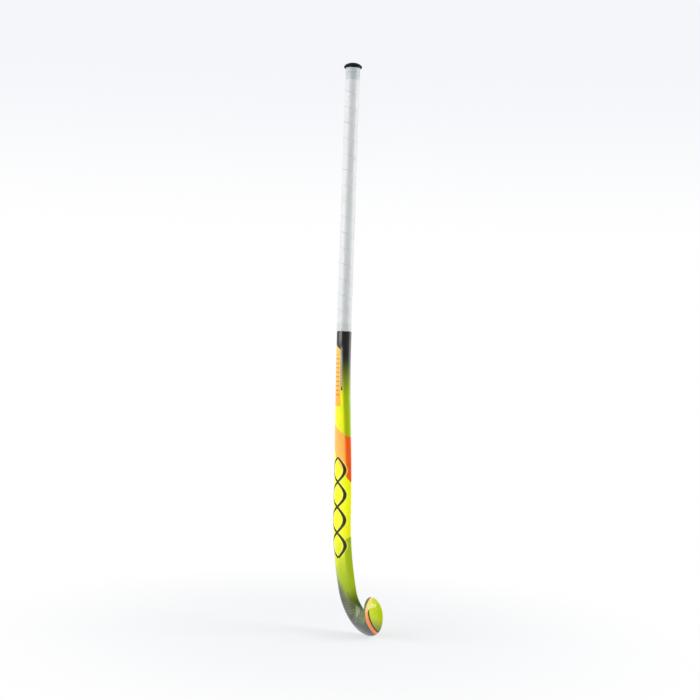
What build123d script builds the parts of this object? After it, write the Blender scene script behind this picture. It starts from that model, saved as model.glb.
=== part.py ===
from build123d import *
import os
from math import asin, cos, radians, sin

# A composite field hockey stick. Millimetres.
# +Z runs up the straight handle towards the butt, +X is the side the toe points to, and +Y is the side of
# the flat playing face. The origin is on the handle's axis, halfway up the grip.

# Lengths along the handle's axis
stick_length = 952.5          # 37.5 in, butt to the bottom of the head
grip_length = 439.0
butt_above_grip = 9.0
grip_top = grip_length / 2
grip_bottom = -grip_length / 2
butt_z = grip_top + butt_above_grip
base_z = butt_z - stick_length

# Handle: a round tube whose seat is sunk by the thickness of the grip
shaft_top_width = 24.5
shaft_top_depth = 24.4
seat_radius = 10.8
shoulder_gap = 0.6            # open line between the grip and the shoulder

# Laminates
outer_wall = 1.8
inner_wall = 1.2
rib_thickness = 1.6

# Shaft and head section: flat face, rounded back
head_width = 45.8
head_depth = 18.9
edge_roll = 5.0               # width of the rolled edge beside the flat face
edge_height = 2.2             # how far below the face the section is widest
back_fullness = 0.28          # 0 is a straight-sided back, 0.55 an elliptical one
round_fullness = 0.5523       # gives a quarter circle
handle_flat = 1.5             # half the flat left on the almost round shaft top

# The taper from head section to handle section, as heights above the base
width_taper_start = 198.0
width_taper_end = 483.0
depth_taper_start = 188.0
depth_taper_end = 553.0

# Bow: the shaft bends towards the playing face in one arc, and the head lies in the tilted plane below it
bow_angle = 12.0
bow_radius = 560.0
bow_end_height = 92.0
face_offset = 12.25           # from the handle's axis to the face, at the straight handle

# Hook, measured on the centreline in the head's plane
heel_radius = 62.0
heel_angle = 47.0
hook_radius = 28.5
hook_angle = 127.0

# Fillings
liner_height = 150.0          # height of the head liner above the base
foam_height = 128.0
rib_top = grip_bottom - 40
shaft_stations = 10
setback = 14.0                # the cavity narrows this far below the shoulder
cavity_ledge = 0.3

# Grip
cushion_thickness = 0.6
wrap_thickness = 0.9
wrap_radius = seat_radius + cushion_thickness + wrap_thickness
tape_length = 13.0
tape_thickness = 0.35
collar_length = 20.0
collar_radius = 12.2
collar_taper = 6.0
collar_neck_radius = 11.5

# End cap and handle plug
cap_radius = 15.1
cap_rim_height = 3.4
spigot_length = 32.0
spigot_wall = 2.0
barb_count = 3
barb_depth = 0.35
barb_pitch = 7.0
plug_length = 70.0

across = Vector(1, 0, 0)
face_normal = Vector(0, cos(radians(bow_angle)), sin(radians(bow_angle)))
down_head = Vector(0, sin(radians(bow_angle)), -cos(radians(bow_angle)))


def blend(value, start, end):
    """0 below start, 1 above end, smooth in between."""
    share = min(max((value - start) / (end - start), 0), 1)
    return share * share * (3 - 2 * share)


def mix(low, high, share):
    return low + (high - low) * share


def stick_section(plane, height, inset=0, half_only=False):
    """The section at a height above the base: its face on the plane's X axis, its back towards -Y."""
    widen = blend(height, width_taper_start, width_taper_end)
    thicken = blend(height, depth_taper_start, depth_taper_end)
    half = mix(head_width, shaft_top_width, widen) / 2 - inset
    depth = mix(head_depth, shaft_top_depth, thicken) - 2 * inset
    flat = mix(head_width / 2 - edge_roll - inset / 2, handle_flat, widen)
    side = mix(edge_height - inset / 4, depth / 2, widen)
    full = mix(back_fullness, round_fullness, widen)
    roll = round_fullness
    shoulder = (half, -inset - side)
    crown = (0, -inset - depth)
    back_pull = side + (depth - side) * full
    with BuildSketch(plane) as section:
        with BuildLine():
            if half_only:
                Line((0, -inset), (flat, -inset))
            else:
                Line((-flat, -inset), (flat, -inset))
            Bezier(
                (flat, -inset),
                (mix(flat, half, roll), -inset),
                (half, -inset - side * (1 - roll)),
                shoulder,
            )
            Bezier(shoulder, (half, -inset - back_pull), (half * full, -inset - depth), crown)
            if half_only:
                Line(crown, (0, -inset))
            else:
                far_shoulder = (-half, -inset - side)
                Bezier(crown, (-half * full, -inset - depth), (-half, -inset - back_pull), far_shoulder)
                Bezier(
                    far_shoulder,
                    (-half, -inset - side * (1 - roll)),
                    (-mix(flat, half, roll), -inset),
                    (-flat, -inset),
                )
        make_face()
    return section.sketch


def shaft_plane(height):
    """Plane across the shaft; it leans with the bow, its Y axis is the outward normal of the face."""
    rise = (bow_start_height - height) / bow_radius
    lean = min(max(rise, 0), sin(radians(bow_angle)))
    drop = bow_radius * (1 - cos(asin(lean)))
    return Plane(
        origin=(0, face_offset + drop, base_z + height),
        x_dir=across,
        z_dir=(0, -lean, cos(asin(lean))),
    )


def head_plane(turn, centre):
    """Plane across the hook where the centreline has turned so far from straight down."""
    x_dir = across * cos(radians(turn)) - down_head * sin(radians(turn))
    return Plane(origin=centre, x_dir=x_dir, z_dir=x_dir.cross(face_normal))


def arc_end(start, turn, radius, angle):
    """Where the centreline ends after an arc towards the toe."""
    to_centre = across * cos(radians(turn)) - down_head * sin(radians(turn))
    end_turn = turn + angle
    from_centre = across * cos(radians(end_turn)) - down_head * sin(radians(end_turn))
    return start + to_centre * radius - from_centre * radius


bow_start_height = bow_end_height + bow_radius * sin(radians(bow_angle))
head_start = shaft_plane(bow_end_height).origin
hook_reach = heel_radius * sin(radians(heel_angle)) + hook_radius * (1 - sin(radians(heel_angle)))
lowest_edge = edge_height * sin(radians(bow_angle))
head_drop = (bow_end_height - lowest_edge) / cos(radians(bow_angle))
head_straight = head_drop - hook_reach - head_width / 2
hook_start = head_start + down_head * head_straight
hook_middle = arc_end(hook_start, 0, heel_radius, heel_angle)
toe_turn = heel_angle + hook_angle
hook_end = arc_end(hook_middle, heel_angle, hook_radius, hook_angle)


def stick_form(inset, handle_radius, handle_top):
    """The solid stick, shrunk by inset: hook, shaft and handle in one."""
    straight = head_plane(0, head_start)
    heel = head_plane(0, hook_start)
    hook = head_plane(heel_angle, hook_middle)
    toe = head_plane(toe_turn, hook_end)
    shoulder_height = grip_bottom - shoulder_gap - base_z
    if inset > 0:
        shoulder_height -= setback
    with BuildPart() as form:
        extrude(stick_section(straight, 0, inset), amount=head_straight, dir=down_head)
        heel_axis = Axis(hook_start + heel.x_dir * heel_radius, -face_normal)
        revolve(stick_section(heel, 0, inset), axis=heel_axis, revolution_arc=heel_angle)
        hook_axis = Axis(hook_middle + hook.x_dir * hook_radius, -face_normal)
        revolve(stick_section(hook, 0, inset), axis=hook_axis, revolution_arc=hook_angle)
        toe_axis = Axis(hook_end, face_normal)
        revolve(stick_section(toe, 0, inset, half_only=True), axis=toe_axis, revolution_arc=180)
        stations = []
        for step in range(shaft_stations + 1):
            height = mix(bow_end_height, shoulder_height, step / shaft_stations)
            stations.append(stick_section(shaft_plane(height), height, inset))
        loft(stations)
        shoulder_z = base_z + shoulder_height
        if inset > 0:
            wide = shaft_top_depth / 2 - inset - cavity_ledge
            with BuildSketch(Plane.XZ):
                with BuildLine():
                    Polyline(
                        (0, shoulder_z),
                        (wide, shoulder_z),
                        (handle_radius, shoulder_z + setback),
                        (handle_radius, handle_top),
                        (0, handle_top),
                        close=True,
                    )
                make_face()
            revolve(axis=Axis.Z)
        else:
            with BuildSketch(Plane.XY.offset(shoulder_z)):
                Circle(handle_radius)
            extrude(amount=handle_top - shoulder_z)
    return form.part


os.makedirs("parts", exist_ok=True)

liner_radius = seat_radius - outer_wall
bore_radius = liner_radius - inner_wall
outer_form = stick_form(0, seat_radius, grip_top)
middle_form = stick_form(outer_wall, liner_radius, grip_top)
inner_form = stick_form(outer_wall + inner_wall, bore_radius, grip_top)
liner_split = shaft_plane(liner_height)
foam_split = shaft_plane(foam_height)

# Painted outer laminate: the whole moulding from the butt to the toe
with BuildPart() as outer_laminate:
    add(outer_form)
    add(middle_form, mode=Mode.SUBTRACT)
outer_laminate.part.label = "outer_laminate"
export_step(outer_laminate.part, "parts/outer_laminate.step")

# Glass-fibre inner tube of the shaft and handle
with BuildPart() as glass_inner_tube:
    add(middle_form)
    add(inner_form, mode=Mode.SUBTRACT)
    split(bisect_by=liner_split, keep=Keep.TOP)
glass_inner_tube.part.label = "glass_inner_tube"
export_step(glass_inner_tube.part, "parts/glass_inner_tube.step")

# Aramid liner of the head, below the glass tube
with BuildPart() as aramid_head_liner:
    add(middle_form)
    add(inner_form, mode=Mode.SUBTRACT)
    split(bisect_by=liner_split, keep=Keep.BOTTOM)
aramid_head_liner.part.label = "aramid_head_liner"
export_step(aramid_head_liner.part, "parts/aramid_head_liner.step")

# Foam core that fills the head
with BuildPart() as head_foam_core:
    add(inner_form)
    split(bisect_by=foam_split, keep=Keep.BOTTOM)
head_foam_core.part.label = "head_foam_core"
export_step(head_foam_core.part, "parts/head_foam_core.step")

# Stiffening web across the shaft, from the foam up to the handle
with BuildPart() as center_rib:
    add(inner_form)
    split(bisect_by=foam_split, keep=Keep.TOP)
    split(bisect_by=Plane.XY.offset(rib_top), keep=Keep.BOTTOM)
    split(bisect_by=Plane.YZ.offset(rib_thickness / 2), keep=Keep.BOTTOM)
    split(bisect_by=Plane.YZ.offset(-rib_thickness / 2), keep=Keep.TOP)
center_rib.part.label = "center_rib"
export_step(center_rib.part, "parts/center_rib.step")

# Grip, from the tube outwards
cushion_radius = seat_radius + cushion_thickness
collar_bottom = grip_top - collar_length
with BuildPart() as grip_cushion:
    with BuildSketch(Plane.XY.offset(grip_bottom)):
        Circle(cushion_radius)
        Circle(seat_radius, mode=Mode.SUBTRACT)
    extrude(amount=collar_bottom - grip_bottom)
grip_cushion.part.label = "grip_cushion"
export_step(grip_cushion.part, "parts/grip_cushion.step")

# Wound tape; its last turn is thinner under the finishing tape
tape_top = grip_bottom + tape_length
with BuildPart() as grip_wrap:
    with BuildSketch(Plane.XZ):
        with BuildLine():
            Polyline(
                (cushion_radius, grip_bottom),
                (wrap_radius - tape_thickness, grip_bottom),
                (wrap_radius - tape_thickness, tape_top),
                (wrap_radius, tape_top),
                (wrap_radius, collar_bottom),
                (cushion_radius, collar_bottom),
                close=True,
            )
        make_face()
    revolve(axis=Axis.Z)
grip_wrap.part.label = "grip_wrap"
export_step(grip_wrap.part, "parts/grip_wrap.step")

with BuildPart() as lower_finishing_tape:
    with BuildSketch(Plane.XY.offset(grip_bottom)):
        Circle(wrap_radius)
        Circle(wrap_radius - tape_thickness, mode=Mode.SUBTRACT)
    extrude(amount=tape_length)
lower_finishing_tape.part.label = "lower_finishing_tape"
export_step(lower_finishing_tape.part, "parts/lower_finishing_tape.step")

# Elastic collar that closes the grip under the cap
with BuildPart() as grip_collar:
    with BuildSketch(Plane.XZ):
        with BuildLine():
            Polyline(
                (seat_radius, collar_bottom),
                (collar_neck_radius, collar_bottom),
                (collar_radius, collar_bottom + collar_taper),
                (collar_radius, grip_top),
                (seat_radius, grip_top),
                close=True,
            )
        make_face()
    revolve(axis=Axis.Z)
grip_collar.part.label = "grip_collar"
export_step(grip_collar.part, "parts/grip_collar.step")

# Domed end cap with a hollow, barbed spigot pressed into the tube
spigot_bottom = grip_top - spigot_length
spigot_radius = bore_radius - barb_depth
rim_top = grip_top + cap_rim_height
with BuildPart() as end_cap:
    with BuildSketch(Plane.XZ):
        with BuildLine():
            Line((0, grip_top), (cap_radius, grip_top))
            Line((cap_radius, grip_top), (cap_radius, rim_top))
            Bezier(
                (cap_radius, rim_top),
                (cap_radius, mix(rim_top, butt_z, round_fullness)),
                (cap_radius * round_fullness, butt_z),
                (0, butt_z),
            )
            Line((0, butt_z), (0, grip_top))
        make_face()
    revolve(axis=Axis.Z)
    with BuildSketch(Plane.XY.offset(spigot_bottom)):
        Circle(spigot_radius)
        Circle(spigot_radius - spigot_wall, mode=Mode.SUBTRACT)
    extrude(amount=spigot_length)
    for barb in range(barb_count):
        barb_z = spigot_bottom + barb_pitch * (barb + 1)
        with BuildSketch(Plane.XZ):
            with BuildLine():
                Polyline(
                    (spigot_radius - spigot_wall / 2, barb_z - barb_pitch / 2),
                    (spigot_radius, barb_z - barb_pitch / 2),
                    (bore_radius, barb_z),
                    (spigot_radius - spigot_wall / 2, barb_z),
                    close=True,
                )
            make_face()
        revolve(axis=Axis.Z)
end_cap.part.label = "end_cap"
export_step(end_cap.part, "parts/end_cap.step")

# Foam plug in the top of the handle, below the spigot
with BuildPart() as handle_plug:
    with BuildSketch(Plane.XY.offset(spigot_bottom - plug_length)):
        Circle(bore_radius)
    extrude(amount=plug_length)
handle_plug.part.label = "handle_plug"
export_step(handle_plug.part, "parts/handle_plug.step")
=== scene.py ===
import math
from collections import namedtuple

import bmesh
import bpy
import numpy as np
from mathutils import Matrix, Vector


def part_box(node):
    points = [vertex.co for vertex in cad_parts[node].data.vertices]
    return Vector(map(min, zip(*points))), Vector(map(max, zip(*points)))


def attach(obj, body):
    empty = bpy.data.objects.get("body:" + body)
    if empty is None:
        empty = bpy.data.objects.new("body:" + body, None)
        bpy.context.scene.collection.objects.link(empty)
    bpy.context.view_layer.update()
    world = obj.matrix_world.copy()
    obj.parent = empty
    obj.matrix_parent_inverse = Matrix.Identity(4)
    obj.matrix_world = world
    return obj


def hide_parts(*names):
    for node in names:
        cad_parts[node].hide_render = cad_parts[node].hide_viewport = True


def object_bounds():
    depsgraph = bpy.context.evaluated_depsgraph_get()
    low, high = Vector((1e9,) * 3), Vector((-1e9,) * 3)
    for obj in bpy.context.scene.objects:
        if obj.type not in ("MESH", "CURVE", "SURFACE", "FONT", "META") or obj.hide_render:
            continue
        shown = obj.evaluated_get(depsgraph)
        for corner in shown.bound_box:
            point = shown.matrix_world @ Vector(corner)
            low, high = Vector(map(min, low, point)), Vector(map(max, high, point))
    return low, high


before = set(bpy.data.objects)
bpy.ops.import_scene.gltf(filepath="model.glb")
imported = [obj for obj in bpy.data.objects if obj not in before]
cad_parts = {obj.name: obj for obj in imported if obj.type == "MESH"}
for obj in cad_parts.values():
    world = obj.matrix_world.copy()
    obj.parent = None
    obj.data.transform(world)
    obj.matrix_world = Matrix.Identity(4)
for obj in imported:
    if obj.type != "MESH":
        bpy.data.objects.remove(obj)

cad_low, cad_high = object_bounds()
BODY = "root"

# Heights on the handle, read from the frame
BUTT_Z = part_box("end_cap")[1].z
GRIP_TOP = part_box("grip_collar")[1].z
COLLAR_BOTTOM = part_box("grip_collar")[0].z
GRIP_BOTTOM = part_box("lower_finishing_tape")[0].z
TAPE_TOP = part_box("lower_finishing_tape")[1].z
BASE_Z = cad_low.z
CAP_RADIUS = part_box("end_cap")[1].x
WRAP_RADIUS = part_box("grip_wrap")[1].x
CUSHION_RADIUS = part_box("grip_cushion")[1].x
COLLAR_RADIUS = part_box("grip_collar")[1].x

# The moulding's driving dimensions, in metres, as in the CAD model
SEAT_RADIUS = 0.0108
SHOULDER_GAP = 0.0006
OUTER_WALL = 0.0018
INNER_SETBACK = 0.014         # the cavity narrows this far below the shoulder
TOP_WIDTH, TOP_DEPTH = 0.0245, 0.0244
HEAD_WIDTH, HEAD_DEPTH = 0.0458, 0.0189
EDGE_ROLL, EDGE_HEIGHT = 0.005, 0.0022
BACK_FULLNESS, ROUND_FULLNESS = 0.28, 0.5523
HANDLE_FLAT = 0.0015
WIDTH_TAPER = (0.198, 0.483)
DEPTH_TAPER = (0.188, 0.553)
BOW_ANGLE = math.radians(12)
BOW_RADIUS = 0.560
BOW_END = 0.092
FACE_OFFSET = 0.01225
HEEL_RADIUS, HEEL_ANGLE = 0.062, math.radians(47)
HOOK_RADIUS, HOOK_ANGLE = 0.0285, math.radians(127)

# Paint positions along the stick are measured from this far above the shoulder
PAINT_LEAD = 0.003

# How finely the moulding is meshed: points round half a section, then rows from the butt down to the toe
FACE_POINTS, ROLL_POINTS, BACK_POINTS = 9, 10, 26
SEAT_ROWS, SHAFT_ROWS, BOW_ROWS, STRAIGHT_ROWS = 12, 90, 36, 6
HEEL_ROWS, HOOK_ROWS, TOE_ROWS = 28, 60, 61

MERGE_DISTANCE = 1e-6         # points of a mesh closer than this are one point
SHORTEST_EDGE = 1e-7
SHARP_ANGLE = math.radians(42)
SLIVER_AREA = 1e-14           # square metres; the smallest real face is far larger

ACROSS = np.array((1.0, 0.0, 0.0))
FACE_NORMAL = np.array((0.0, math.cos(BOW_ANGLE), math.sin(BOW_ANGLE)))
DOWN_HEAD = np.array((0.0, math.sin(BOW_ANGLE), -math.cos(BOW_ANGLE)))


def mix(low, high, share):
    return low + (high - low) * share


def blend(value, start, end):
    """0 at start, 1 at end, smooth in between."""
    share = min(max((value - start) / (end - start), 0.0), 1.0)
    return share * share * (3 - 2 * share)


def bezier(points, count):
    t = np.linspace(0, 1, count)[:, None]
    a, b, c, d = (np.array(p) for p in points)
    return (1 - t) ** 3 * a + 3 * (1 - t) ** 2 * t * b + 3 * (1 - t) * t * t * c + t**3 * d


# ---------------------------------------------------------------- the moulding's surface


def half_section(height, inset):
    """Points of the +X half of the section, from the middle of the face to the crown of the back."""
    widen = blend(height, *WIDTH_TAPER)
    thicken = blend(height, *DEPTH_TAPER)
    half = mix(HEAD_WIDTH, TOP_WIDTH, widen) / 2 - inset
    depth = mix(HEAD_DEPTH, TOP_DEPTH, thicken) - 2 * inset
    flat = mix(HEAD_WIDTH / 2 - EDGE_ROLL - inset / 2, HANDLE_FLAT, widen)
    side = mix(EDGE_HEIGHT - inset / 4, depth / 2, widen)
    full = mix(BACK_FULLNESS, ROUND_FULLNESS, widen)
    low = -inset - depth
    face = np.stack([np.linspace(0, flat, FACE_POINTS), np.full(FACE_POINTS, -inset)], 1)
    roll = [(flat, -inset), (mix(flat, half, ROUND_FULLNESS), -inset)]
    roll += [(half, -inset - side * (1 - ROUND_FULLNESS)), (half, -inset - side)]
    back = [(half, -inset - side), (half, -inset - side - (depth - side) * full)]
    back += [(half * full, low), (0, low)]
    return np.vstack([face, bezier(roll, ROLL_POINTS)[1:], bezier(back, BACK_POINTS)[1:]])


def full_section(height, inset):
    """The closed section, starting at the middle of the face and going round by +X."""
    right = half_section(height, inset)
    left = right[::-1][1:-1] * (-1, 1)
    return np.vstack([right, left])


def head_frame(turn):
    """Across and along directions where the hook's centreline has turned so far."""
    inward = ACROSS * math.cos(turn) - DOWN_HEAD * math.sin(turn)
    onward = ACROSS * math.sin(turn) + DOWN_HEAD * math.cos(turn)
    return inward, onward


def stations(setback):
    """Sections down the stick, as (point on the face line, across, normal, height), and the hook's turn."""
    found = []
    upright = np.array((0.0, 1.0, 0.0))
    shoulder = GRIP_BOTTOM - SHOULDER_GAP - BASE_Z - setback
    bow_start = BOW_END + BOW_RADIUS * math.sin(BOW_ANGLE)
    for height in np.linspace(shoulder, bow_start, SHAFT_ROWS):
        found.append((np.array((0, FACE_OFFSET, BASE_Z + height)), ACROSS, upright, height))
    for lean in np.linspace(0, BOW_ANGLE, BOW_ROWS)[1:]:
        height = bow_start - BOW_RADIUS * math.sin(lean)
        drop = BOW_RADIUS * (1 - math.cos(lean))
        normal = np.array((0.0, math.cos(lean), math.sin(lean)))
        found.append((np.array((0, FACE_OFFSET + drop, BASE_Z + height)), ACROSS, normal, height))
    reach = HEEL_RADIUS * math.sin(HEEL_ANGLE) + HOOK_RADIUS * (1 - math.sin(HEEL_ANGLE))
    head_drop = (BOW_END - EDGE_HEIGHT * math.sin(BOW_ANGLE)) / math.cos(BOW_ANGLE)
    straight = head_drop - reach - HEAD_WIDTH / 2
    point = found[-1][0]
    for _ in range(STRAIGHT_ROWS):
        point = point + DOWN_HEAD * straight / STRAIGHT_ROWS
        found.append((point, ACROSS, FACE_NORMAL, 0.0))
    turn = 0.0
    arcs = ((HEEL_RADIUS, HEEL_ANGLE, HEEL_ROWS), (HOOK_RADIUS, HOOK_ANGLE, HOOK_ROWS))
    for radius, angle, steps in arcs:
        inward, _ = head_frame(turn)
        centre = point + inward * radius
        for step in range(steps):
            inward, _ = head_frame(turn + angle * (step + 1) / steps)
            found.append((centre - inward * radius, inward, FACE_NORMAL, 0.0))
        turn += angle
        point = found[-1][0]
    return found, turn


def moulding_grid(inset, setback):
    """Rows of surface points down to the toe, then the half rows that turn round the toe's end.

    Each point is marked for the paint with its distance along the stick and its place across it, -1 to 1.
    """
    found, turn = stations(setback)
    rows, marks, travelled = [], [], 0.0
    last = found[0][0]
    for point, across, normal, height in found:
        travelled += float(np.linalg.norm(point - last))
        last = point
        section = full_section(height, inset)
        rows.append(point + section[:, :1] * across + section[:, 1:] * normal)
        along = np.full(len(section), PAINT_LEAD + travelled)
        marks.append(np.stack([along, section[:, 0] / section[:, 0].max()], 1))
    inward, onward = head_frame(turn)
    half = half_section(0.0, inset)
    half_width = half[:, 0].max()
    toe_rows, toe_marks = [], []
    for angle in np.linspace(0, math.pi, TOE_ROWS)[1:-1]:
        out = inward * math.cos(angle) + onward * math.sin(angle)
        toe_rows.append(last + half[:, :1] * out + half[:, 1:] * FACE_NORMAL)
        beyond = PAINT_LEAD + travelled + half[:, 0] * math.sin(angle)
        across = half[:, 0] / half_width * math.cos(angle)
        toe_marks.append(np.stack([beyond, across], 1))
    return rows, marks, toe_rows, toe_marks


def mesh_object(name, points, faces, marks=None):
    """A smooth-shaded object without doubled points or bare edges; marks are two numbers per point."""
    mesh = bpy.data.meshes.new(name)
    mesh.from_pydata([tuple(p) for p in points], [], faces)
    if marks is not None:
        layer = mesh.attributes.new("stick", "FLOAT_VECTOR", "POINT")
        vectors = np.pad(np.asarray(marks, dtype=np.float32), ((0, 0), (0, 1)))
        layer.data.foreach_set("vector", vectors.ravel())
    made = bmesh.new()
    made.from_mesh(mesh)
    bmesh.ops.remove_doubles(made, verts=made.verts, dist=MERGE_DISTANCE)
    bmesh.ops.dissolve_degenerate(made, edges=made.edges, dist=SHORTEST_EDGE)
    bare = [edge for edge in made.edges if not edge.link_faces]
    bmesh.ops.delete(made, geom=bare, context="EDGES")
    bmesh.ops.recalc_face_normals(made, faces=made.faces)
    made.to_mesh(mesh)
    made.free()
    mesh.shade_smooth()
    mesh.set_sharp_from_angle(angle=SHARP_ANGLE)
    obj = bpy.data.objects.new(name, mesh)
    bpy.context.collection.objects.link(obj)
    return obj


def moulding_surface(inset, setback, seat_radius):
    """Points, faces and marks of one skin of the moulding, from the butt to the toe."""
    rows, marks, toe_rows, toe_marks = moulding_grid(inset, setback)
    size = len(rows[0])
    middle = size // 2
    shoulder_z = rows[0][0][2]
    top_section = rows[0]
    angles = np.arctan2(top_section[:, 1], top_section[:, 0])
    seat_low = shoulder_z if inset == 0 else shoulder_z + setback
    for z in np.linspace(seat_low, GRIP_TOP, SEAT_ROWS):
        circle = np.stack([np.cos(angles) * seat_radius, np.sin(angles) * seat_radius, np.full(size, z)], 1)
        rows.insert(0, circle)
        marks.insert(0, np.stack([np.full(size, seat_low - z), np.cos(angles)], 1))
    points = np.vstack(rows + toe_rows)
    all_marks = np.vstack(marks + toe_marks)
    faces = []
    for r in range(len(rows) - 1):
        for c in range(size):
            d = (c + 1) % size
            faces.append((r * size + c, r * size + d, (r + 1) * size + d, (r + 1) * size + c))
    last = (len(rows) - 1) * size
    right = [last + c for c in range(middle + 1)]
    left = [last] + [last + size - c for c in range(1, middle)] + [last + middle]
    start = len(rows) * size
    step = middle + 1
    columns = [right]
    columns += [list(range(start + k * step, start + (k + 1) * step)) for k in range(len(toe_rows))]
    columns.append(left)
    for a, b in zip(columns, columns[1:]):
        for c in range(middle):
            faces.append((a[c], a[c + 1], b[c + 1], b[c]))
    return points, faces, all_marks


def build_moulding():
    """The hollow painted moulding: an outer and an inner skin joined at the butt."""
    outer = moulding_surface(0.0, 0.0, SEAT_RADIUS)
    inner = moulding_surface(OUTER_WALL, INNER_SETBACK, SEAT_RADIUS - OUTER_WALL)
    size = len(full_section(0.0, 0.0))
    shift = len(outer[0])
    faces = list(outer[1]) + [tuple(i + shift for i in reversed(f)) for f in inner[1]]
    for c in range(size):
        d = (c + 1) % size
        faces.append((c, shift + c, shift + d, d))
    points = np.vstack([outer[0], inner[0]])
    marks = np.vstack([outer[2], inner[2]])
    return mesh_object("painted_moulding", points, faces, marks)


CORNER_SHARE = 0.45           # part of a side that one rounded corner may take
CORNER_POINTS = 5
LATHE_SEGMENTS = 128


def soften(profile, radius):
    """Rounds every corner of a closed outline of (radius, height) points."""
    rounded = []
    count = len(profile)
    for i in range(count):
        before, corner, after = (np.array(profile[(i + k) % count]) for k in (-1, 0, 1))
        reach_in = min(radius, CORNER_SHARE * np.linalg.norm(before - corner))
        reach_out = min(radius, CORNER_SHARE * np.linalg.norm(after - corner))
        start = corner + (before - corner) / np.linalg.norm(before - corner) * reach_in
        end = corner + (after - corner) / np.linalg.norm(after - corner) * reach_out
        for t in np.linspace(0, 1, CORNER_POINTS):
            rounded.append((1 - t) ** 2 * start + 2 * (1 - t) * t * corner + t * t * end)
    return rounded


def lathe(name, profile):
    """Turns a closed outline of (radius, height) points about the handle's axis."""
    angles = np.arange(LATHE_SEGMENTS) / LATHE_SEGMENTS * 2 * math.pi
    points, faces = [], []
    rows = len(profile)
    for radius, height in profile:
        points += [(radius * math.cos(a), radius * math.sin(a), height) for a in angles]
    for r in range(rows):
        this_row, next_row = r * LATHE_SEGMENTS, (r + 1) % rows * LATHE_SEGMENTS
        for c in range(LATHE_SEGMENTS):
            d = (c + 1) % LATHE_SEGMENTS
            faces.append((this_row + c, next_row + c, next_row + d, this_row + d))
    return mesh_object(name, points, faces)


def as_piece(obj, node):
    """The piece stands for one CAD node, which it hides, and rides on the stick."""
    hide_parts(node)
    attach(obj, BODY)
    return obj


# ---------------------------------------------------------------- grip, collar, tape and cap

WRAP_PITCH = 0.0260           # height of one turn of the tape
LAP_HEIGHT = 0.00035          # how far each turn stands on the one below it
LAP_SHARE = 0.20              # part of a turn over which the lap levels out
STEP_SHARE = 0.018            # part of a turn taken by the step at the lap's edge
CROWN_START = 0.02            # part of a turn before the lap begins to level out
PILLOW_HEIGHT = 0.00008
RIPPLE_HEIGHT = 0.000012
RIPPLE_COUNT = 5
RIPPLE_SEED = 7
WRAP_COLUMNS = 120            # round the handle
# Where each turn has its points, closer together beside the lap
WRAP_PHASES = (0, 0.01, 0.03, 0.06, 0.10, 0.15, 0.20, 0.28, 0.38, 0.50, 0.62, 0.74, 0.84, 0.92, 0.97)
TAPE_CLEARANCE = 0.00002      # between the wrap and the finishing tape over it
TAPE_LAP = 0.0082             # height of the finishing tape's thicker, double part


def lap_radius(phase):
    """Outer radius of the wound tape; the phase runs down each turn from its visible upper edge."""
    phase = phase % 1.0
    thin = WRAP_RADIUS - LAP_HEIGHT
    if phase > 1 - STEP_SHARE:
        return thin + LAP_HEIGHT * blend(phase, 1 - STEP_SHARE, 1)
    crown = 1 - blend(phase, CROWN_START, LAP_SHARE)
    pillow = math.sin(math.pi * phase / (1 - STEP_SHARE)) * PILLOW_HEIGHT
    return min(thin + LAP_HEIGHT * crown + pillow, WRAP_RADIUS)


def build_wrap():
    """Tape wound down the handle as a helix whose laps show as steps; each point is marked with its phase."""
    phases = [*WRAP_PHASES, 1 - STEP_SHARE, 1 - STEP_SHARE / 2]
    turns = math.ceil((COLLAR_BOTTOM - GRIP_BOTTOM) / WRAP_PITCH)
    steps = [turn + phase for turn in range(-1, turns + 1) for phase in phases]
    points, marks, faces = [], [], []
    # Faint ripples in the tape, as (waves round the handle, waves per turn down it, start)
    rng = np.random.default_rng(RIPPLE_SEED)
    ripples = [(rng.integers(2, 7), rng.uniform(4, 11), rng.uniform(0, 6.28)) for _ in range(RIPPLE_COUNT)]
    for column in range(WRAP_COLUMNS + 1):
        angle = column / WRAP_COLUMNS * 2 * math.pi
        lead = angle / (2 * math.pi)
        line = [(CUSHION_RADIUS, COLLAR_BOTTOM, 0.0)]
        last = (COLLAR_BOTTOM - GRIP_BOTTOM) / WRAP_PITCH - lead
        for step in steps:
            held = min(max(step, -lead), last)
            z = COLLAR_BOTTOM - WRAP_PITCH * (held + lead)
            ripple = sum(math.sin(n * angle + f * (held + lead) + p) for n, f, p in ripples) * RIPPLE_HEIGHT
            radius = lap_radius(held) + ripple
            if z < TAPE_TOP:
                radius = WRAP_RADIUS - LAP_HEIGHT - TAPE_CLEARANCE
            line.append((radius, z, held % 1.0))
        line.append((CUSHION_RADIUS, GRIP_BOTTOM, 0.0))
        for radius, z, phase in line:
            points.append((radius * math.cos(angle), radius * math.sin(angle), z))
            marks.append((phase, 0.0))
    rows = len(steps) + 2
    for column in range(WRAP_COLUMNS):
        for r in range(rows):
            below = (r + 1) % rows
            a, b = column * rows, (column + 1) * rows
            faces.append((a + r, a + below, b + below, b + r))
    return mesh_object("wound_grip", points, faces, marks)


def build_finishing_tape():
    """Two turns of thin tape over the end of the wrap."""
    inner = WRAP_RADIUS - LAP_HEIGHT
    low = GRIP_BOTTOM + 0.0001
    profile = [
        (inner, low), (WRAP_RADIUS - 0.00005, low), (WRAP_RADIUS, low + 0.0012),
        (WRAP_RADIUS - 0.00004, low + TAPE_LAP - 0.0004), (WRAP_RADIUS - 0.00014, low + TAPE_LAP),
        (WRAP_RADIUS - 0.00012, TAPE_TOP - 0.0004), (inner, TAPE_TOP),
    ]
    return lathe("finishing_tape", soften(profile, radius=0.0003))


COLLAR_TAPER = 0.0068         # the collar is drawn in over this height, and its groove is as far from its top
GROOVE_DEPTH = 0.0004
GROOVE_FLOOR = 0.0003         # half the groove's height at its bottom
GROOVE_MOUTH = 0.0008         # and half its height at its mouth


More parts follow.
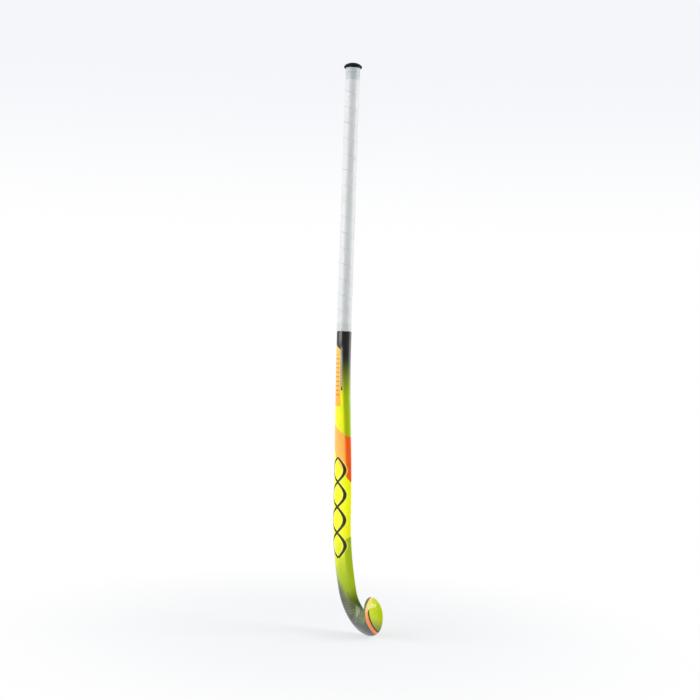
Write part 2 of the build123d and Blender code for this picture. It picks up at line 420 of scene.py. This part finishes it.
def build_collar():
    """Smooth elastic ring with a moulded groove, drawn in at its lower edge."""
    groove = GRIP_TOP - COLLAR_TAPER
    floor_radius = COLLAR_RADIUS - GROOVE_DEPTH
    profile = [
        (SEAT_RADIUS, COLLAR_BOTTOM), (COLLAR_RADIUS - 0.0007, COLLAR_BOTTOM),
        (COLLAR_RADIUS - 0.0005, COLLAR_BOTTOM + 0.0022), (COLLAR_RADIUS - 0.0002, COLLAR_BOTTOM + 0.0062),
        (COLLAR_RADIUS, COLLAR_BOTTOM + COLLAR_TAPER), (COLLAR_RADIUS, groove - GROOVE_MOUTH),
        (floor_radius, groove - GROOVE_FLOOR), (floor_radius, groove + GROOVE_FLOOR),
        (COLLAR_RADIUS, groove + GROOVE_MOUTH), (COLLAR_RADIUS, GRIP_TOP), (SEAT_RADIUS, GRIP_TOP),
    ]
    return lathe("butt_collar", soften(profile, radius=0.0005))


# End cap, and its spigot with the barbs that fill the tube's bore
CAP_LIP_HEIGHT = 0.0022       # above the grip
CAP_ROUNDNESS = 1.25          # 1 is an elliptical dome
DOME_START = 0.12             # part of the dome's quarter turn where its first ring lies
DOME_POINTS = 16
SPIGOT_WALL = 0.002
BARB_COUNT = 3
BARB_DEPTH = 0.00035
BARB_PITCH = 0.007


def build_cap():
    """Moulded rubber cap: a domed head with a rounded lip, and the hollow barbed spigot below it."""
    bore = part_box("handle_plug")[1].x
    spigot_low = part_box("end_cap")[0].z
    spigot = bore - BARB_DEPTH
    hollow = spigot - SPIGOT_WALL
    lip = GRIP_TOP + CAP_LIP_HEIGHT
    profile = [(0.0, BUTT_Z)]
    for t in np.linspace(DOME_START, 1, DOME_POINTS):
        turn = t * math.pi / 2
        profile.append((CAP_RADIUS * math.sin(turn), lip + (BUTT_Z - lip) * math.cos(turn) ** CAP_ROUNDNESS))
    profile += [
        (CAP_RADIUS, lip - 0.0012), (CAP_RADIUS - 0.0004, lip - 0.0018), (CAP_RADIUS - 0.0011, lip - 0.0019),
        (CAP_RADIUS - 0.0026, GRIP_TOP + 0.0008), (COLLAR_RADIUS, GRIP_TOP), (spigot, GRIP_TOP),
    ]
    for barb in reversed(range(BARB_COUNT)):
        top = spigot_low + BARB_PITCH * (barb + 1)
        profile += [(spigot, top + 0.0004), (bore, top), (spigot, top - BARB_PITCH / 2)]
    profile += [(spigot, spigot_low), (hollow, spigot_low), (hollow, GRIP_TOP), (0.0, GRIP_TOP)]
    return lathe("butt_cap", profile)


# ---------------------------------------------------------------- inner pieces with a cleaned mesh


def without_slivers(node, name):
    """A copy of an inner CAD node without the faces of no area that its meshing leaves on the toe's axis."""
    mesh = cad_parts[node].data.copy()
    made = bmesh.new()
    made.from_mesh(mesh)
    slivers = [face for face in made.faces if face.calc_area() < SLIVER_AREA]
    bmesh.ops.delete(made, geom=slivers, context="FACES")
    made.to_mesh(mesh)
    made.free()
    obj = bpy.data.objects.new(name, mesh)
    bpy.context.collection.objects.link(obj)
    return obj


# ---------------------------------------------------------------- the pieces

moulding = as_piece(build_moulding(), "outer_laminate")
wrap = as_piece(build_wrap(), "grip_wrap")
tape = as_piece(build_finishing_tape(), "lower_finishing_tape")
collar = as_piece(build_collar(), "grip_collar")
cap = as_piece(build_cap(), "end_cap")
liner = as_piece(without_slivers("aramid_head_liner", "head_liner"), "aramid_head_liner")
foam = as_piece(without_slivers("head_foam_core", "head_foam"), "head_foam_core")

# ---------------------------------------------------------------- materials


def srgb(text):
    """A colour written as six hex digits, as the linear numbers a shader takes."""
    parts = [int(text[i:i + 2], 16) / 255 for i in (0, 2, 4)]
    return tuple(p / 12.92 if p <= 0.04045 else ((p + 0.055) / 1.055) ** 2.4 for p in parts) + (1.0,)


class Finish:
    """Writes one node material; its calls take numbers, colours or sockets, and most return a socket."""

    def __init__(self, name):
        self.material = bpy.data.materials.new(name)
        self.material.use_nodes = True
        self.tree = self.material.node_tree
        self.shader = self.tree.nodes["Principled BSDF"]

    def plug(self, socket, value):
        if isinstance(value, bpy.types.NodeSocket):
            self.tree.links.new(value, socket)
        else:
            socket.default_value = value

    def node(self, kind, **settings):
        made = self.tree.nodes.new(kind)
        for key, value in settings.items():
            setattr(made, key, value)
        return made

    def compute(self, operation, *values):
        made = self.node("ShaderNodeMath", operation=operation)
        for socket, value in zip(made.inputs, values):
            self.plug(socket, value)
        return made.outputs[0]

    def step(self, value, low, high):
        """0 below low, 1 above high; low may be the larger of the two."""
        made = self.node("ShaderNodeMapRange", interpolation_type="SMOOTHSTEP")
        for socket, number in zip(made.inputs, (value, low, high, 0.0, 1.0)):
            self.plug(socket, number)
        return made.outputs[0]

    def window(self, value, rise, fall):
        """1 between two soft edges, each given as where it is 0 and where it is 1."""
        return self.both(self.step(value, *rise), self.step(value, *fall))

    def both(self, *masks):
        joined = masks[0]
        for mask in masks[1:]:
            joined = self.compute("MULTIPLY", joined, mask)
        return joined

    def either(self, *masks):
        joined = masks[0]
        for mask in masks[1:]:
            joined = self.compute("MAXIMUM", joined, mask)
        return joined

    def invert(self, mask):
        return self.compute("SUBTRACT", 1.0, mask)

    def scaled(self, value, factor, offset):
        """value times factor, plus offset."""
        return self.compute("MULTIPLY_ADD", value, factor, offset)

    def repeat(self, value, pitch):
        """0 to 1 over each pitch of value."""
        return self.compute("FRACT", self.compute("MULTIPLY", value, 1 / pitch))

    def wave(self, value, pitch):
        """A sine of value, from -1 to 1."""
        return self.compute("SINE", self.compute("MULTIPLY", value, 2 * math.pi / pitch))

    def over(self, base, top, mask):
        """top painted over base where the mask is 1."""
        made = self.node("ShaderNodeMix", data_type="RGBA")
        self.plug(made.inputs[0], mask)
        self.plug(made.inputs[6], base)
        self.plug(made.inputs[7], top)
        return made.outputs[2]

    def place(self):
        return self.node("ShaderNodeTexCoord").outputs["Object"]

    def split(self, vector):
        made = self.node("ShaderNodeSeparateXYZ")
        self.plug(made.inputs[0], vector)
        return made.outputs

    def stretch(self, vector, scale):
        made = self.node("ShaderNodeVectorMath", operation="MULTIPLY")
        self.plug(made.inputs[0], vector)
        made.inputs[1].default_value = scale
        return made.outputs[0]

    def mark(self, name):
        return self.node("ShaderNodeAttribute", attribute_name=name).outputs["Vector"]

    def noise(self, scale, detail=3.0, vector=None):
        made = self.node("ShaderNodeTexNoise")
        self.plug(made.inputs["Vector"], vector or self.place())
        made.inputs["Scale"].default_value = scale
        made.inputs["Detail"].default_value = detail
        return made.outputs["Fac"]

    def cells(self, scale):
        made = self.node("ShaderNodeTexVoronoi")
        self.plug(made.inputs["Vector"], self.place())
        made.inputs["Scale"].default_value = scale
        return made.outputs["Distance"]

    def bump(self, height, distance, strength):
        """Adds relief to the shader's normal, on top of any relief it has."""
        made = self.node("ShaderNodeBump")
        made.inputs["Strength"].default_value = strength
        made.inputs["Distance"].default_value = distance
        self.plug(made.inputs["Height"], height)
        if self.shader.inputs["Normal"].is_linked:
            self.plug(made.inputs["Normal"], self.shader.inputs["Normal"].links[0].from_socket)
        self.plug(self.shader.inputs["Normal"], made.outputs[0])

    def set(self, **values):
        """Sets the shader's sockets by name, with underscores for spaces."""
        for name, value in values.items():
            self.plug(self.shader.inputs[name.replace("_", " ")], value)

    def soil(self, colour, dark, amount, scale=60.0):
        """Faint uneven soiling over a colour."""
        patch = self.step(self.noise(scale, 5.0), 0.45, 0.75)
        return self.over(colour, dark, self.compute("MULTIPLY", patch, amount))


def apply_finish(obj, finish):
    obj.data.materials.clear()
    obj.data.materials.append(finish.material)


# Paint colours
CHARCOAL = srgb("242523")
SLATE = srgb("505553")
OLIVE = srgb("2f2f04")
MOSS = srgb("46590f")
GREEN = srgb("a4bd0c")
LIME = srgb("9db604")
YELLOW = srgb("e6e806")
FLUORESCENT = srgb("f6fa18")
ORANGE = srgb("ef5a12")
APRICOT = srgb("fdb24e")

# The slanted ends of the middle panel: (slope against x, place on the middle line)
PANEL_START = (0.90, 0.161)
PANEL_END = (1.9, 0.211)
CRISP = 0.0006                # width of a sharp paint edge, in metres

# The plain twisted-ribbon motif, which crosses itself about a line beside the middle
RIBBON_SPAN = ((0.2120, 0.2125), (0.3785, 0.3780))
RIBBON_START = 0.212
RIBBON_PITCH = 0.083
RIBBON_MIDDLE = 0.22
RIBBON_SWING = 0.50
RIBBON_STROKE = (0.112, 0.094)
RIBBON_GLOW = (0.20, 0.15)

# The toe's markings, by x: the orange band, the dark pinstripe and the chartreuse tip
TOE_BAND = ((0.0645, 0.0651), (0.0722, 0.0716))
TOE_PIN = ((0.0714, 0.0718), (0.0742, 0.0738))
TOE_TIP = (0.0712, 0.0718)
TOE_PAINT_START = (0.49, 0.50)

# Below, "along" is metres down the stick from PAINT_LEAD above the shoulder, "across" is -1 to 1 with the
# toe's side positive, and "height" is metres above the base. Each pair of numbers is the soft edge of a mask:
# where it is 0, then where it is 1.
Spot = namedtuple("Spot", "along across x height")


def paint_upper_shaft(f, at):
    """Charcoal that fades down into yellow, sooner on the back than on the side, with two pale strips."""
    side = f.step(at.across, 0.68, 0.86)
    side_fade, back_fade = (0.040, 0.128), (0.088, 0.100)
    fade = f.either(f.step(at.along, *side_fade), f.both(f.invert(side), f.step(at.along, *back_fade)))
    colour = f.over(CHARCOAL, f.over(YELLOW, LIME, side), fade)

    strip = f.window(at.across, (0.48, 0.50), (0.74, 0.70))
    strip_span = f.window(at.along, (0.030, 0.060), (0.098, 0.094))
    colour = f.over(colour, srgb("7c847e"), f.both(strip, strip_span, 0.75))

    accent = f.window(at.across, (0.47, 0.50), (0.80, 0.60))
    accent_span = f.window(at.along, (0.024, 0.034), (0.066, 0.046))
    return f.over(colour, srgb("7d9a7e"), f.both(accent, accent_span, 0.8))


def paint_upper_panel(f, at, colour):
    """Slanted orange panel high on the back, with a row of ticks, a dark trim and a dashed line beside it."""
    top_edge = f.compute("SUBTRACT", at.along, f.scaled(at.across, 0.009, 0.0285))
    span = f.both(f.step(top_edge, 0.0, CRISP), f.step(at.along, 0.128, 0.127))
    panel = f.both(span, f.window(at.across, (-0.62, -0.60), (0.50, 0.485)))
    colour = f.over(colour, f.over(APRICOT, srgb("f5a81c"), f.step(at.along, 0.08, 0.13)), panel)

    tick_pitch, dash_pitch = 0.0075, 0.0026
    tick = f.window(f.repeat(at.along, tick_pitch), (0.30, 0.36), (0.66, 0.60))
    tick_span = f.window(at.along, (0.040, 0.042), (0.112, 0.110))
    ticks = f.both(tick, tick_span, f.window(at.across, (-0.42, -0.39), (0.34, 0.31)))
    colour = f.over(colour, srgb("9c5c14"), f.both(ticks, 0.75))

    trim = f.both(span, f.window(at.across, (-0.66, -0.64), (-0.55, -0.57)))
    colour = f.over(colour, srgb("4a4a1c"), trim)

    dash = f.step(f.repeat(at.along, dash_pitch), 0.40, 0.50)
    dash_span = f.window(at.along, (0.042, 0.0425), (0.0945, 0.094))
    dashes = f.both(dash, dash_span, f.window(at.across, (0.56, 0.58), (0.66, 0.64)))
    colour = f.over(colour, srgb("c9cfc6"), f.both(dashes, 0.8))

    end_block = f.window(at.along, (0.0955, 0.096), (0.101, 0.1005))
    end_block = f.both(end_block, f.window(at.across, (0.52, 0.54), (0.70, 0.68)))
    return f.over(colour, srgb("30362c"), end_block)


def paint_middle(f, at, colour):
    """Middle orange panel with slanted ends, and the bright field below it that turns green down the side."""
    past_start = f.compute("SUBTRACT", at.along, f.scaled(at.x, *PANEL_START))
    before_end = f.compute("SUBTRACT", f.scaled(at.x, *PANEL_END), at.along)
    panel = f.both(f.step(past_start, 0.0, CRISP), f.step(before_end, 0.0, CRISP))
    colour = f.over(colour, f.over(APRICOT, ORANGE, f.step(at.across, 0.70, 0.88)), panel)

    field = f.both(f.step(before_end, 0.0, -CRISP), f.step(at.along, 0.47, 0.40))
    bright = f.over(FLUORESCENT, srgb("f0f600"), f.step(at.across, 0.80, 0.95))
    colour = f.over(colour, bright, field)
    side_block = f.step(f.scaled(at.across, 0.023, at.along), 0.3650, 0.3665)
    colour = f.over(colour, GREEN, f.both(f.step(at.across, 0.62, 0.74), side_block))
    return f.over(colour, GREEN, f.window(at.along, (0.325, 0.425), (0.5, 0.499)))


def paint_ribbon(f, at, colour):
    """Plain twisted-ribbon motif: two crossing waves inside a pale glow."""
    swing = f.wave(f.compute("SUBTRACT", at.along, RIBBON_START), RIBBON_PITCH)
    swing = f.compute("MULTIPLY", swing, RIBBON_SWING)
    aside = f.compute("SUBTRACT", at.across, RIBBON_MIDDLE)
    gaps = [f.compute("SUBTRACT", aside, f.compute("MULTIPLY", swing, sign)) for sign in (1, -1)]
    gaps = [f.compute("ABSOLUTE", gap) for gap in gaps]
    strokes = f.either(*(f.step(gap, *RIBBON_STROKE) for gap in gaps))
    glow = f.either(*(f.step(gap, *RIBBON_GLOW) for gap in gaps))
    inside = f.window(at.along, *RIBBON_SPAN)
    colour = f.over(colour, srgb("fdff66"), f.both(glow, inside, 0.5))
    return f.over(colour, OLIVE, f.both(strokes, inside))


def paint_head(f, at, colour):
    """Slate round the heel and the sole, green on the hook's inner side darkened to moss there as painted
    shade, and crossed hatching.
    """
    past_heel = f.compute("SUBTRACT", at.along, f.scaled(at.across, 0.060, 0.405))
    colour = f.over(colour, SLATE, f.step(past_heel, -0.012, 0.030))
    # Painted shade: the hook's inner side is darkened to moss.
    inner_hook_shade = f.both(f.window(at.along, (0.415, 0.470), (0.500, 0.480)), f.step(at.across, 0.30, 0.62))
    colour = f.over(colour, MOSS, inner_hook_shade)
    toe_green = f.both(f.step(at.x, 0.036, 0.050), f.step(at.height, 0.018, 0.036))
    colour = f.over(colour, srgb("4f7020"), toe_green)

    hatch_pitch, hatch_lean, hatch_line = 0.0042, 0.55, (0.80, 0.95)
    slants = [f.scaled(at.x, lean, at.along) for lean in (hatch_lean, -hatch_lean)]
    hatch = f.either(*(f.step(f.wave(slant, hatch_pitch), *hatch_line) for slant in slants))
    patches = f.step(f.noise(55.0), 0.40, 0.60)
    area = f.both(f.step(at.along, 0.36, 0.43), f.step(at.x, 0.050, 0.040), f.step(at.across, -0.10, 0.25))
    return f.over(colour, f.over(colour, srgb("d5e060"), 0.30), f.both(hatch, patches, area))


def paint_toe(f, at, colour):
    """Chartreuse toe end beyond an orange band, with a dark pinstripe between them; the tip carries painted
    shade low down and the band a painted highlight along its top.
    """
    toe = f.step(at.along, *TOE_PAINT_START)
    # Painted shade: the chartreuse tip darkens to olive towards the bottom of the toe.
    tip = f.over(srgb("c4d610"), srgb("6f7b32"), f.step(at.height, 0.042, 0.010))
    colour = f.over(colour, tip, f.both(toe, f.step(at.x, *TOE_TIP)))
    # Painted highlight: the orange band pales towards its top.
    band = f.over(srgb("f4894e"), srgb("f8c984"), f.step(at.height, 0.035, 0.060))
    colour = f.over(colour, band, f.both(toe, f.window(at.x, *TOE_BAND)))
    pin = f.both(toe, f.window(at.x, *TOE_PIN), f.step(at.height, 0.052, 0.048))
    return f.over(colour, srgb("1d170c"), pin)


def paint_finish():
    """Lacquered paint: charcoal at both ends, yellow and orange panels between, green towards the head."""
    f = Finish("painted_lacquer")
    along, across, _ = f.split(f.mark("stick"))
    x, _, z = f.split(f.place())
    at = Spot(along, across, x, f.compute("SUBTRACT", z, BASE_Z))
    colour = paint_upper_shaft(f, at)
    for paint in (paint_upper_panel, paint_middle, paint_ribbon, paint_head, paint_toe):
        colour = paint(f, at, colour)

    # Fine print texture under the lacquer and handling marks over it
    print_grain = f.step(f.noise(900.0, 2.0), 0.52, 0.75)
    colour = f.over(colour, f.over(colour, CHARCOAL, 0.5), f.both(print_grain, 0.22))
    f.set(Base_Color=f.soil(colour, srgb("5a5a30"), 0.10, 45.0))
    scuff = f.step(f.noise(220.0, 6.0, f.stretch(f.place(), (1.0, 1.0, 0.25))), 0.55, 0.72)
    f.set(Roughness=f.scaled(scuff, 0.10, 0.40))
    f.set(Specular_IOR_Level=0.08, Coat_Weight=1.0, Coat_Roughness=0.07, Coat_IOR=1.5)
    f.bump(f.noise(500.0, 2.0), 0.00002, 0.5)
    return f


def grip_finish():
    """Tacky white polyurethane: fine grain, faint creases, and painted shade darkening the step at each lap's
    edge.
    """
    f = Finish("wound_polyurethane")
    phase, _, _ = f.split(f.mark("stick"))
    # Painted shade: the tape is darkened to grey along the step at each lap's edge.
    lap_edge_shade = f.both(f.step(phase, 0.955, 0.985), 0.45)
    colour = f.over(srgb("c2c5c6"), srgb("8d8f90"), lap_edge_shade)
    f.set(Base_Color=f.soil(colour, srgb("b9b7b0"), 0.35, 38.0))
    f.set(Roughness=f.scaled(f.noise(120.0), 0.12, 0.34))
    creases = f.noise(70.0, 4.0, f.stretch(f.place(), (1.0, 1.0, 3.2)))
    f.bump(creases, 0.0010, 0.7)
    f.bump(f.cells(2600.0), 0.00006, 0.6)
    return f


def smooth_white_finish(name, tone):
    """Smooth off-white film or elastic, a little soiled."""
    f = Finish(name)
    f.set(Base_Color=f.soil(srgb(tone), srgb("b4b4b0"), 0.3, 70.0))
    f.set(Roughness=f.scaled(f.noise(200.0), 0.1, 0.38))
    f.bump(f.noise(350.0, 4.0), 0.00005, 0.5)
    return f


def rubber_finish():
    """Black moulded rubber with a fine texture."""
    f = Finish("moulded_rubber")
    f.set(Base_Color=f.soil(srgb("07090c"), srgb("24282c"), 0.30, 130.0))
    f.set(Specular_IOR_Level=0.15)
    f.set(Roughness=f.scaled(f.noise(150.0), 0.2, 0.42))
    f.bump(f.cells(1500.0), 0.00008, 0.5)
    return f


def laminate_finish(name, tone, dark, pitch):
    """Woven plies: two crossed sets of tows."""
    f = Finish(name)
    x, _, z = f.split(f.place())
    warp = f.wave(f.compute("ADD", x, z), pitch)
    weft = f.wave(f.compute("SUBTRACT", x, z), pitch)
    warp_on_top = f.step(f.compute("MULTIPLY", warp, weft), -0.25, 0.25)
    f.set(Base_Color=f.soil(f.over(srgb(tone), srgb(dark), warp_on_top), srgb(dark), 0.3))
    f.set(Roughness=f.scaled(warp_on_top, 0.15, 0.35))
    f.bump(warp_on_top, 0.00015, 0.6)
    return f


def foam_finish(name, tone, dark, size):
    """Rigid foam with open pores of one size, in metres."""
    f = Finish(name)
    pores = f.step(f.cells(1 / size), 0.15, 0.45)
    f.set(Base_Color=f.over(srgb(dark), srgb(tone), pores))
    f.set(Roughness=f.scaled(pores, 0.1, 0.82))
    f.bump(pores, size / 3, 0.7)
    return f


def felt_finish():
    """Grey felt whose fibres run up the handle."""
    f = Finish("felt_backing")
    fibre = f.noise(1400.0, 6.0, f.stretch(f.place(), (1.0, 1.0, 0.4)))
    f.set(Base_Color=f.over(srgb("6f7072"), srgb("a3a4a6"), fibre))
    f.set(Roughness=f.scaled(fibre, 0.1, 0.85))
    f.bump(fibre, 0.0002, 0.8)
    return f


apply_finish(moulding, paint_finish())
apply_finish(wrap, grip_finish())
apply_finish(tape, smooth_white_finish("finishing_tape_film", "b9bcbd"))
# The collar's grey tone is partly its own colour and partly painted shade standing in for the dimmer light at
# the top of the handle.
apply_finish(collar, smooth_white_finish("elastic_collar", "abb0b4"))
apply_finish(cap, rubber_finish())
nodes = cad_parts
apply_finish(nodes["glass_inner_tube"], laminate_finish("glass_laminate", "b9bf9c", "8e9674", 0.004))
apply_finish(liner, laminate_finish("aramid_laminate", "d6b13c", "a8821e", 0.003))
apply_finish(nodes["center_rib"], laminate_finish("carbon_laminate", "26282a", "0d0e0f", 0.004))
apply_finish(foam, foam_finish("rigid_head_foam", "e6dcc0", "b7aa86", 0.0011))
apply_finish(nodes["handle_plug"], foam_finish("plug_foam", "ded09c", "ab9a62", 0.0009))
apply_finish(nodes["grip_cushion"], felt_finish())


# ---------------------------------------------------------------- camera and light

VIEW_AZIMUTH = math.radians(54.48)
VIEW_ROLL = math.radians(1.96)
CAMERA_DISTANCE = 2.2295
CAMERA_HEIGHT = 0.4736
CAMERA_ASIDE = 0.0110
LENS = 68.7


def make_camera():
    """Level with the middle of the stick, turned about its own axis so that the handle leans."""
    back = Vector((math.sin(VIEW_AZIMUTH), -math.cos(VIEW_AZIMUTH), 0))
    right = Vector((math.cos(VIEW_AZIMUTH), math.sin(VIEW_AZIMUTH), 0))
    place = Vector((0, 0, BASE_Z + CAMERA_HEIGHT)) + back * CAMERA_DISTANCE + right * CAMERA_ASIDE
    turned = right * math.cos(VIEW_ROLL) + Vector((0, 0, math.sin(VIEW_ROLL)))
    up = back.cross(turned)
    camera = bpy.data.objects.new("camera", bpy.data.cameras.new("camera"))
    camera.data.lens = LENS
    camera.matrix_world = Matrix((
        (turned.x, up.x, back.x, place.x),
        (turned.y, up.y, back.y, place.y),
        (turned.z, up.z, back.z, place.z),
        (0, 0, 0, 1),
    ))
    bpy.context.collection.objects.link(camera)
    bpy.context.scene.camera = camera


make_camera()

# Directions round the stick, measured from the camera towards its right
KEY_BEARING = math.radians(-67)
STRIP_BEARING = math.radians(-60)
SIDE_BEARING = math.radians(84)
RIM_BEARING = math.radians(114)
SHADE_BEARING = math.radians(26)

# The room: light is even outside the shade and low inside it, with a soft edge between two angles
SHADE_REACH = (math.cos(math.radians(70)), math.cos(math.radians(48)))
ROOM_LIGHT = 0.75
SHADE_LIGHT = 0.05
BACKDROP_FADE = (0.07, 0.22)  # rise of the view over which the backdrop takes its top colour
BACKDROP_TOP = (0.905, 0.920, 0.955, 1)

# The floor: its glow makes up for the light it doesn't reflect, and is all there is beyond the fade
FLOOR_SIZE = 12.0             # half its side
FLOOR_GAP = 0.0005
FLOOR_FADE = (0.15, 0.7)
FLOOR_GLOW = 0.63


def bearing(angle):
    """Level direction at an angle to the right of the camera, as seen from the stick."""
    turned = VIEW_AZIMUTH + angle
    return Vector((math.sin(turned), -math.cos(turned), 0))


def make_softbox(name, angle, away, width, span, radiance, glossy=True, diffuse=True):
    """A tall area light facing the stick; its span is from one height above the base to another."""
    low, high = span
    light = bpy.data.lights.new(name, "AREA")
    light.shape = "RECTANGLE"
    light.size = width
    light.size_y = high - low
    light.energy = radiance * math.pi * width * (high - low)
    lamp = bpy.data.objects.new(name, light)
    lamp.location = Vector((0, 0, BASE_Z + (low + high) / 2)) + bearing(angle) * away
    lamp.rotation_euler = bearing(angle).to_track_quat("Z", "Y").to_euler()
    lamp.visible_glossy = glossy
    lamp.visible_diffuse = diffuse
    bpy.context.collection.objects.link(lamp)


def make_room():
    """Pale room whose camera side is unlit; the backdrop is white, a little cooler towards the top."""
    world = bpy.data.worlds.new("studio")
    world.use_nodes = True
    tree = world.node_tree
    background = tree.nodes["Background"]
    direction = tree.nodes.new("ShaderNodeTexCoord").outputs["Generated"]

    def ramp(value, low, high, start, end):
        made = tree.nodes.new("ShaderNodeMapRange")
        made.interpolation_type = "SMOOTHSTEP"
        for socket, number in zip(made.inputs[1:5], (low, high, start, end)):
            socket.default_value = number
        tree.links.new(value, made.inputs[0])
        return made.outputs[0]

    facing = tree.nodes.new("ShaderNodeVectorMath")
    facing.operation = "DOT_PRODUCT"
    tree.links.new(direction, facing.inputs[0])
    facing.inputs[1].default_value = bearing(SHADE_BEARING)
    light = ramp(facing.outputs["Value"], *SHADE_REACH, ROOM_LIGHT, SHADE_LIGHT)
    strength = tree.nodes.new("ShaderNodeMix")
    tree.links.new(tree.nodes.new("ShaderNodeLightPath").outputs["Is Camera Ray"], strength.inputs[0])
    tree.links.new(light, strength.inputs[2])
    strength.inputs[3].default_value = 1.0
    tree.links.new(strength.outputs[0], background.inputs["Strength"])

    height = tree.nodes.new("ShaderNodeSeparateXYZ")
    tree.links.new(direction, height.inputs[0])
    tint = tree.nodes.new("ShaderNodeMix")
    tint.data_type = "RGBA"
    tree.links.new(ramp(height.outputs[2], *BACKDROP_FADE, 0.0, 1.0), tint.inputs[0])
    tint.inputs[6].default_value = (1, 1, 1, 1)
    tint.inputs[7].default_value = BACKDROP_TOP
    tree.links.new(tint.outputs[2], background.inputs["Color"])
    bpy.context.scene.world = world
    bpy.context.scene.view_settings.view_transform = "Standard"


def make_floor():
    """Pale floor that takes a soft shadow round the stick, with painted shade from its weaker glow there, and
    runs out into the white backdrop.
    """
    level = cad_low.z - FLOOR_GAP
    corners = [(x * FLOOR_SIZE, y * FLOOR_SIZE, level) for x, y in ((-1, -1), (1, -1), (1, 1), (-1, 1))]
    floor = mesh_object("floor", corners, [(0, 1, 2, 3)])
    f = Finish("pale_floor")
    x, y, _ = f.split(f.place())
    away = f.compute("SQRT", f.compute("ADD", f.compute("MULTIPLY", x, x), f.compute("MULTIPLY", y, y)))
    far = f.step(away, *FLOOR_FADE)
    grain = f.over(srgb("8c8d8f"), srgb("888a8c"), f.noise(3.0))
    f.set(Base_Color=f.over(grain, (0, 0, 0, 1), far))
    f.set(Roughness=f.scaled(f.noise(40.0), 0.1, 0.8))
    f.set(Specular_IOR_Level=0.0, Emission_Color=(1, 1, 1, 1))
    # Painted shade: the glow is weaker near the stick than beyond the fade, so the floor is darker round it
    # besides the shadow it takes.
    f.set(Emission_Strength=f.scaled(far, 1.0 - FLOOR_GLOW, FLOOR_GLOW))
    apply_finish(floor, f)
    floor.visible_glossy = False


make_room()
make_floor()
make_softbox("key_softbox", KEY_BEARING, away=1.6, width=2.2, span=(0.45, 1.42), radiance=3.7, glossy=False)
make_softbox("key_strip", STRIP_BEARING, away=1.6, width=1.5, span=(0.46, 1.08), radiance=3.8, diffuse=False)
make_softbox("key_fill", KEY_BEARING, away=1.6, width=2.2, span=(-0.3, 1.1), radiance=1.0, glossy=False)
make_softbox("side_fill", SIDE_BEARING, away=1.6, width=1.2, span=(-0.3, 1.7), radiance=1.7, glossy=False)
make_softbox("rim_strip", RIM_BEARING, away=1.8, width=1.2, span=(0.18, 0.58), radiance=1.4)
make_softbox("grip_rim", SIDE_BEARING, away=1.7, width=1.1, span=(0.62, 1.6), radiance=5.4)
